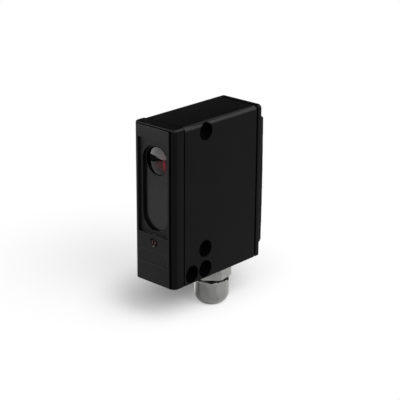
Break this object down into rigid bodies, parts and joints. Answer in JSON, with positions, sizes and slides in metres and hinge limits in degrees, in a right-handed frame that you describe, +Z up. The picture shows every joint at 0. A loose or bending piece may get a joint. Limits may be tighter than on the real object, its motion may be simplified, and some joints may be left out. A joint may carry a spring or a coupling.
{
  "type": "proximity switch",
  "caption": "Cuboid photoelectric proximity switch: black casing with a stepped front window and lens, side fixing holes, screwed rear cover and a hexagonal cable gland below.",
  "frame": {"origin": "midway between the two outer side fixing holes, at mid width", "axes": "+X across the width to the right side seen from the front, -Y the way the optics look, +Z up, with the cable gland at the foot"},
  "size_m": [0.03, 0.0749, 0.1153],
  "materials": {
    "casing": "fine matte moulded surface",
    "front_plate": "smooth satin moulding",
    "filter": "polished dark filter",
    "lens_glass": "polished clear lens",
    "light_pipe": "polished clear red moulding",
    "seal_rubber": "dull rubber",
    "carrier_plastic": "dull black, takes up stray light",
    "led_resin": "clear tinted resin",
    "component_black": "moulded component body",
    "circuit_board": "green solder mask",
    "can_metal": "drawn can",
    "brass": "turned or stamped brass",
    "terminal_plastic": "moulded grey",
    "screw_steel": "zinc plated",
    "adjuster_case": "moulded blue",
    "adjuster_spindle": "moulded white",
    "nickel": "nickel plated, satin",
    "cage_plastic": "moulded polyamide"
  },
  "bodies": {
    "sensor": {"housing": "casing", "optics_hood": "casing", "rear_cover": "casing", "front_plate": "front_plate", "filter_pane": "filter", "sender_lens": "lens_glass", "receiver_lens": "lens_glass", "status_light_pipe": "light_pipe", "hood_seal": "seal_rubber", "cover_gasket": "seal_rubber", "gland_o_ring": "seal_rubber", "gland_seal": "seal_rubber", "lens_carrier": "carrier_plastic", "sender_led": "led_resin", "receiver_diode": "component_black", "status_led": "led_resin", "optics_board": "circuit_board", "indicator_board": "circuit_board", "main_board": "circuit_board", "terminal_board": "circuit_board", "output_relay": "component_black", "control_chip": "component_black", "board_capacitors": "can_metal", "board_connector": "component_black", "bulkhead_pins": "brass", "terminal_block": "terminal_plastic", "terminal_clamps": "brass", "terminal_screws": "screw_steel", "range_adjuster_case": "adjuster_case", "mode_switch_case": "adjuster_case", "cover_screws": "screw_steel", "cover_inserts": "brass", "gland_body": "nickel", "gland_nut": "nickel", "gland_cage": "cage_plastic"},
    "range_spindle": {"range_adjuster_spindle": "adjuster_spindle"},
    "mode_rotor": {"mode_switch_rotor": "adjuster_spindle"}
  },
  "joints": [
    {"name": "range_turn", "type": "hinge", "parent": "sensor", "child": "range_spindle", "pos_m": [-0.006, 0.0205, 0.026], "axis": [0, 1, 0], "range_deg": [-135, 135]},
    {"name": "mode_turn", "type": "hinge", "parent": "sensor", "child": "mode_rotor", "pos_m": [0.006, 0.0205, 0.026], "axis": [0, 1, 0], "range_deg": [0, 90]}
  ]
}
